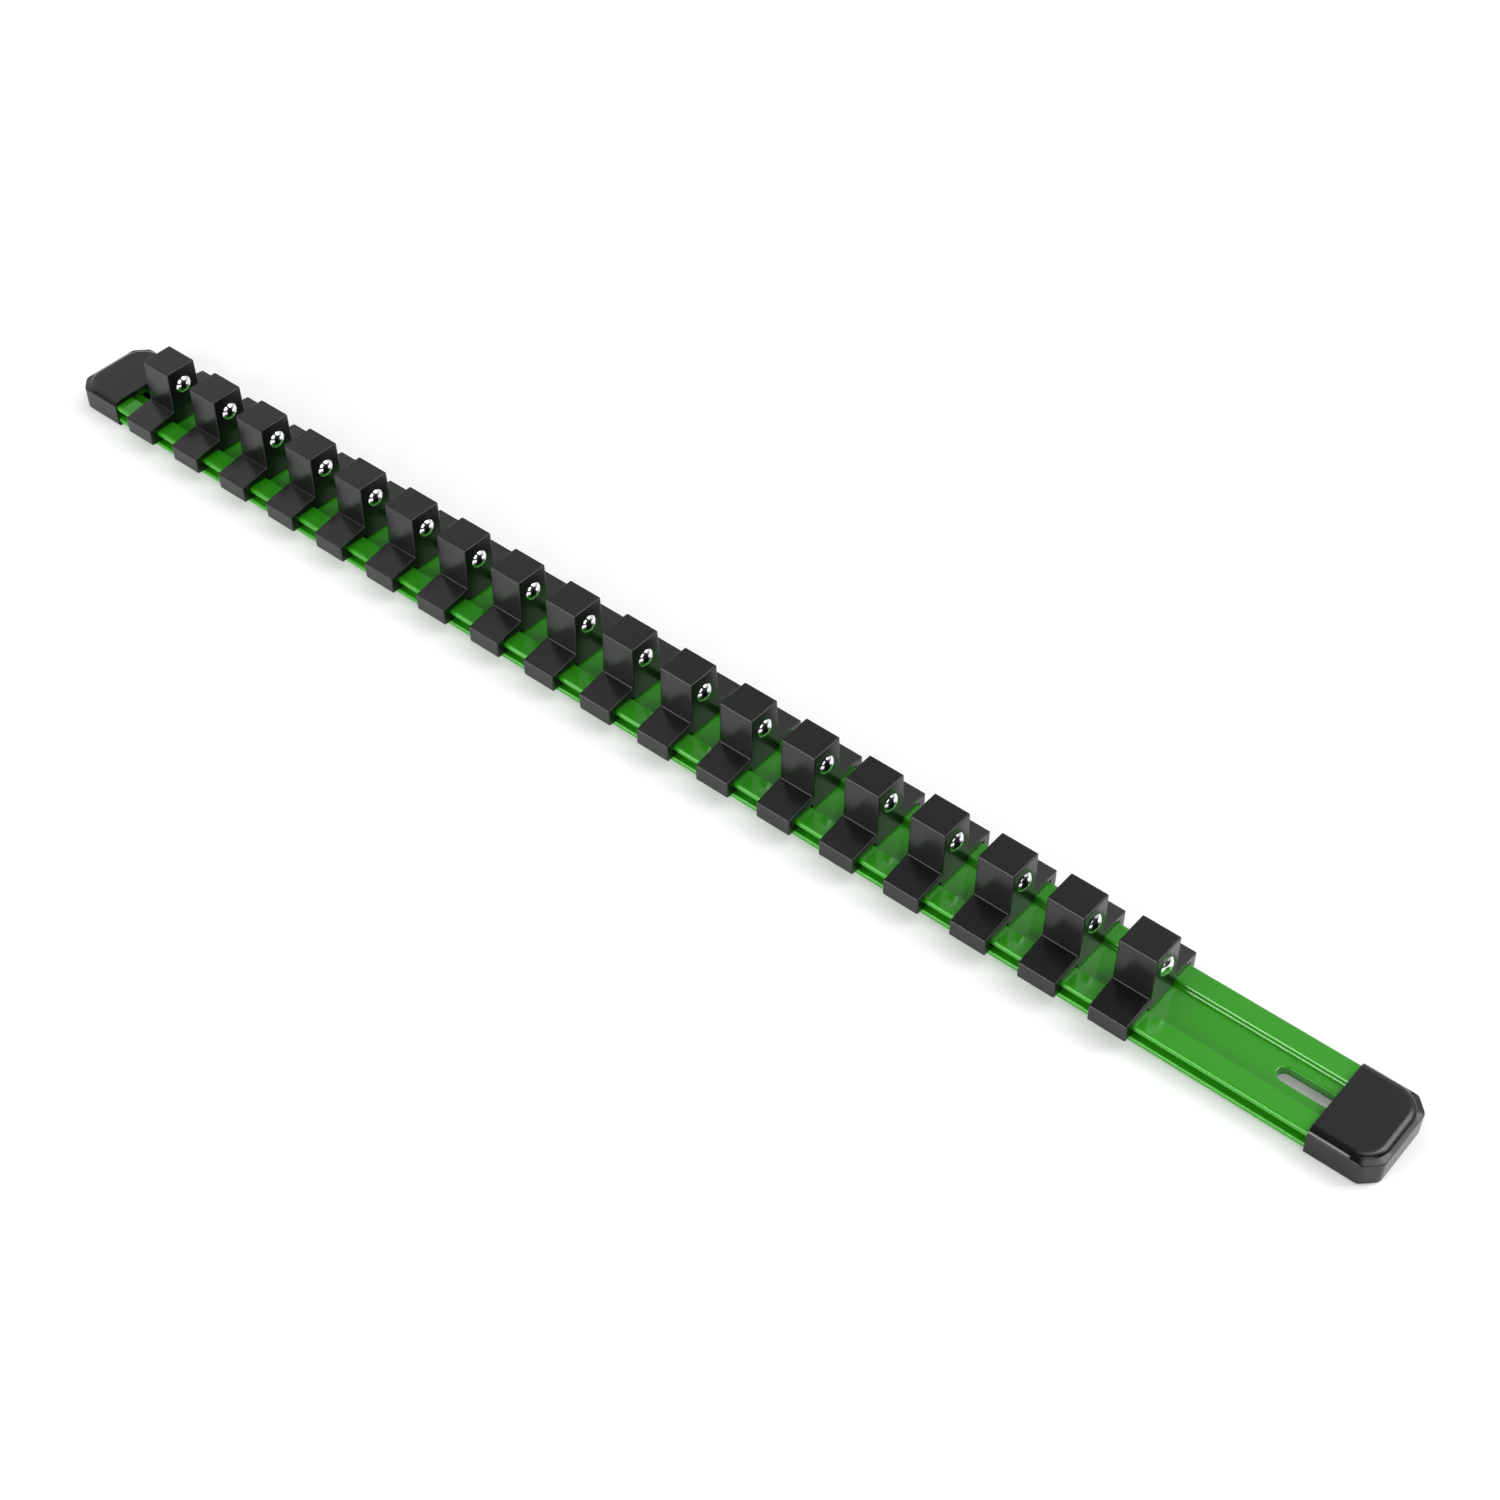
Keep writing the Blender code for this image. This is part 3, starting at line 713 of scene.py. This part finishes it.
class AddCaps(bpy.types.Operator):
    """Builds the moulded end caps with their domed tops"""

    bl_idname = "socketrail.add_caps"
    bl_label = "End caps"
    corner_steps = 24
    edge_steps = 10
    dome_steps = 20

    def ring(self, sizes, reach, height):
        """A level of the cap. It reaches as far as reach gives from the middle of each round corner."""
        x = cap_high.x - sizes.shoulder_nose - sizes.dome_corner_radius
        y = cap_high.y - sizes.shoulder_side - sizes.dome_corner_radius
        half = [(cap_low.x - sizes.past_mouth, -y - reach(0))]
        for step in range(self.corner_steps + 1):
            angle = math.pi / 2 * step / self.corner_steps
            half.append((x + reach(angle) * math.sin(angle), -y - reach(angle) * math.cos(angle)))
        return [(u, v, height) for u, v in half + [(u, -v) for u, v in reversed(half)]]

    def body_ring(self, sizes, inset, height):
        """A level of the body, whose slanted corners turn softly into its side and its nose."""
        side = sizes.shoulder_side + sizes.dome_corner_radius
        nose = sizes.shoulder_nose + sizes.dome_corner_radius
        slant = (side + nose - sizes.corner) / math.sqrt(2)

        def reach(angle):
            near = math.cos(angle) / (side - inset)
            slanted = math.cos(math.pi / 4 - angle) / (slant - inset)
            far = math.sin(angle) / (nose - inset)
            power = sizes.corner_power
            return (near**power + slanted**power + far**power) ** (-1 / power)

        return self.ring(sizes, reach, height)

    def dome_ring(self, sizes, inset, height):
        return self.ring(sizes, lambda angle: sizes.dome_corner_radius - inset, height)

    def rings(self, sizes):
        """The levels of the cap: its body between two round edges, its shoulder and its round dome."""
        side_top = rail_high.z + sizes.gap + sizes.side_cover
        shoulder_top = side_top + sizes.shoulder_rise
        dome_radius = (cap_high.z - shoulder_top) / (1 - math.cos(sizes.dome_angle))
        quarter = [math.pi / 2 * step / self.edge_steps for step in range(self.edge_steps + 1)]
        rings = []
        for angle in quarter:
            inset = sizes.bottom_radius * (1 - math.sin(angle))
            rings.append(self.body_ring(sizes, inset, sizes.bottom_radius * (1 - math.cos(angle))))
        for angle in quarter:
            inset = sizes.top_radius * (1 - math.cos(angle))
            rings.append(self.body_ring(sizes, inset, side_top - sizes.top_radius * (1 - math.sin(angle))))
        for step in range(self.dome_steps + 1):
            angle = sizes.dome_angle * (1 - step / self.dome_steps)
            inset = dome_radius * (math.sin(sizes.dome_angle) - math.sin(angle))
            rings.append(self.dome_ring(sizes, inset, cap_high.z - dome_radius * (1 - math.cos(angle))))
        return rings

    def trimmed(self, mesh):
        """Cuts a cap off square at its mouth and closes it there."""
        work = bmesh.new()
        work.from_mesh(mesh)
        everything = [*work.verts, *work.edges, *work.faces]
        mouth = {"plane_co": (cap_low.x, 0, 0), "plane_no": (-1, 0, 0)}
        halves = bmesh.ops.bisect_plane(work, geom=everything, clear_outer=True, **mouth)
        rim = [item for item in halves["geom_cut"] if isinstance(item, bmesh.types.BMEdge)]
        bmesh.ops.edgeloop_fill(work, edges=rim)
        bmesh.ops.recalc_face_normals(work, faces=work.faces)
        work.to_mesh(mesh)
        work.free()
        return mesh

    def pocket(self, sizes):
        """The cutter of a cap's pocket, which follows the rail's outline with the fit gap."""
        end = rail_high.x + sizes.gap
        size = (
            end - cap_low.x + cutter_overrun,
            2 * (rail_high.y + sizes.gap),
            rail_high.z - rail_low.z + 2 * sizes.gap,
        )
        middle = (end - size[0] / 2, 0, (rail_low.z + rail_high.z) / 2)
        work = bmesh.new()
        bmesh.ops.create_cube(work, size=1, matrix=Matrix.Diagonal((*size, 1)))
        bmesh.ops.translate(work, verts=work.verts, vec=middle)
        return shown("pocket", mesh_from(work, "pocket"))

    def execute(self, context):
        sizes = context.scene.cap_sizes
        solid = self.trimmed(lofted("end_cap", self.rings(sizes)))
        mesh = smoothed(cut(shown("cap_blank", solid), self.pocket(sizes)))
        finishes = context.scene.finishes
        material = moulded_plastic(
            "cap_plastic", finishes.cap, finishes.cap_roughness, finishes.cap_texture
        )
        for body, turn in (("end_cap_right", 0), ("end_cap_left", math.pi)):
            piece = finished(f"moulded_{body}", mesh, material, body, body)
            piece.rotation_euler.z = turn
        return {"FINISHED"}


class AddStudio(bpy.types.Operator):
    """Adds the pale floor, the soft lamps and the camera of the photograph"""

    bl_idname = "socketrail.add_studio"
    bl_label = "Studio"

    # The direction of each patch of light, and the cosines of the angles from it
    # at which the patch begins and is full
    patches = {
        "back": ((0.25, 0.75, 0.61), 0.74, 0.90),
        "left": ((-0.80, 0.0, 0.60), 0.72, 0.96),
        "front": ((0.72, -0.42, 0.55), 0.92, 0.98),
        "top": ((0.26, 0.15, 0.95), 0.955, 0.985),
        "low": ((-0.45, 0.80, 0.38), 0.90, 0.97),
    }

    def aim(self, item, place, target=(0, 0, 0), roll=0):
        """Puts a lamp or the camera at a place and turns it to look at a target."""
        item.location = place
        turn = (Vector(target) - Vector(place)).to_track_quat("-Z", "Y")
        item.rotation_euler = (turn @ Quaternion((0, 0, 1), roll)).to_euler()

    def lamp(self, name, place, size, power):
        """A soft rectangular lamp that looks at the middle of the rail."""
        data = bpy.data.lights.new(name, "AREA")
        data.shape = "RECTANGLE"
        data.size, data.size_y = size
        data.energy = power
        self.aim(shown(name, data), place)

    def floor(self, finishes, studio):
        """A white floor that keeps its shadows. The camera and the reflections see it lifted to white."""
        finish = Finish(
            "studio_floor",
            Base_Color=(*finishes.floor, 1),
            Roughness=1,
            Specular_IOR_Level=0,
            Emission_Color=(1, 1, 1, 1),
        )
        rays = ("Is Camera Ray", "Is Glossy Ray", "Is Transmission Ray")
        seen = sum(finish.node("ShaderNodeLightPath", output=ray) for ray in rays)
        finish.set(Emission_Strength=seen * studio.floor_lift)
        work = bmesh.new()
        bmesh.ops.create_grid(work, x_segments=1, y_segments=1, size=studio.floor_reach)
        mesh = mesh_from(work, "studio_floor")
        mesh.materials.append(finish.material)
        shown("studio_floor", mesh)

    def patch(self, tree, place, towards, begins, full, light):
        """A soft patch of light in the room, as a strength at each place on the sky."""
        directions = {0: place, 1: Vector(towards).normalized()}
        cosine = add_node(tree, "ShaderNodeVectorMath", {"operation": "DOT_PRODUCT"}, directions, "Value")
        inputs = {"Value": cosine, "From Min": begins, "From Max": full, "To Max": light}
        return add_node(tree, "ShaderNodeMapRange", inputs=inputs)

    def sky(self, studio):
        """A dark room with soft patches of light, which the dark and glossy surfaces reflect."""
        world = bpy.data.worlds.new("studio")
        bpy.context.scene.world = world
        world.use_nodes = True
        tree = world.node_tree
        place = add_node(tree, "ShaderNodeTexCoord", output="Generated")
        patches = (
            self.patch(tree, place, *shape, getattr(studio, name))
            for name, shape in self.patches.items()
        )
        background = tree.nodes["Background"]
        feed(tree, background.inputs["Strength"], sum(patches) + studio.dark)
        feed(tree, background.inputs["Color"], (1, 1, 1, 1))

    def execute(self, context):
        studio = context.scene.studio
        self.floor(context.scene.finishes, studio)
        self.sky(studio)
        self.lamp("window_in_front", studio.window_place, studio.window_size, studio.window)
        self.lamp("softbox_behind", studio.softbox_place, studio.softbox_size, studio.softbox)
        data = bpy.data.cameras.new("photograph")
        data.lens = studio.lens
        data.sensor_width = studio.sensor
        camera = shown("photograph", data)
        self.aim(camera, studio.camera_place, studio.camera_target, studio.camera_roll)
        context.scene.camera = camera
        context.scene.view_settings.view_transform = "Standard"
        return {"FINISHED"}


class SocketRailPanel(bpy.types.Panel):
    """Lists the pieces of the socket rail and its studio"""

    bl_idname = "VIEW3D_PT_socket_rail"
    bl_label = "Socket rail"
    bl_space_type = "VIEW_3D"
    bl_region_type = "UI"
    bl_category = "Socket rail"

    def draw(self, context):
        for operator in operators:
            self.layout.operator(operator.bl_idname)
        for name in settings:
            box = self.layout.box()
            group = getattr(context.scene, name)
            for size in group.__annotations__:
                box.prop(group, size)


settings = {
    "rail_sizes": RailSizes,
    "clip_sizes": ClipSizes,
    "spring_sizes": SpringSizes,
    "cap_sizes": CapSizes,
    "finishes": Finishes,
    "studio": StudioSettings,
}
operators = (AddRail, AddClips, AddBalls, AddSprings, AddCaps, AddStudio)


def register():
    for group in settings.values():
        bpy.utils.register_class(group)
    for name, group in settings.items():
        setattr(bpy.types.Scene, name, bpy.props.PointerProperty(type=group))
    for operator in operators:
        bpy.utils.register_class(operator)
    bpy.utils.register_class(SocketRailPanel)


def unregister():
    bpy.utils.unregister_class(SocketRailPanel)
    for operator in reversed(operators):
        bpy.utils.unregister_class(operator)
    for name, group in reversed(settings.items()):
        delattr(bpy.types.Scene, name)
        bpy.utils.unregister_class(group)


def main():
    register()
    bpy.ops.socketrail.add_rail()
    bpy.ops.socketrail.add_clips()
    bpy.ops.socketrail.add_balls()
    bpy.ops.socketrail.add_springs()
    bpy.ops.socketrail.add_caps()
    bpy.ops.socketrail.add_studio()


if __name__ == "__main__":
    main()
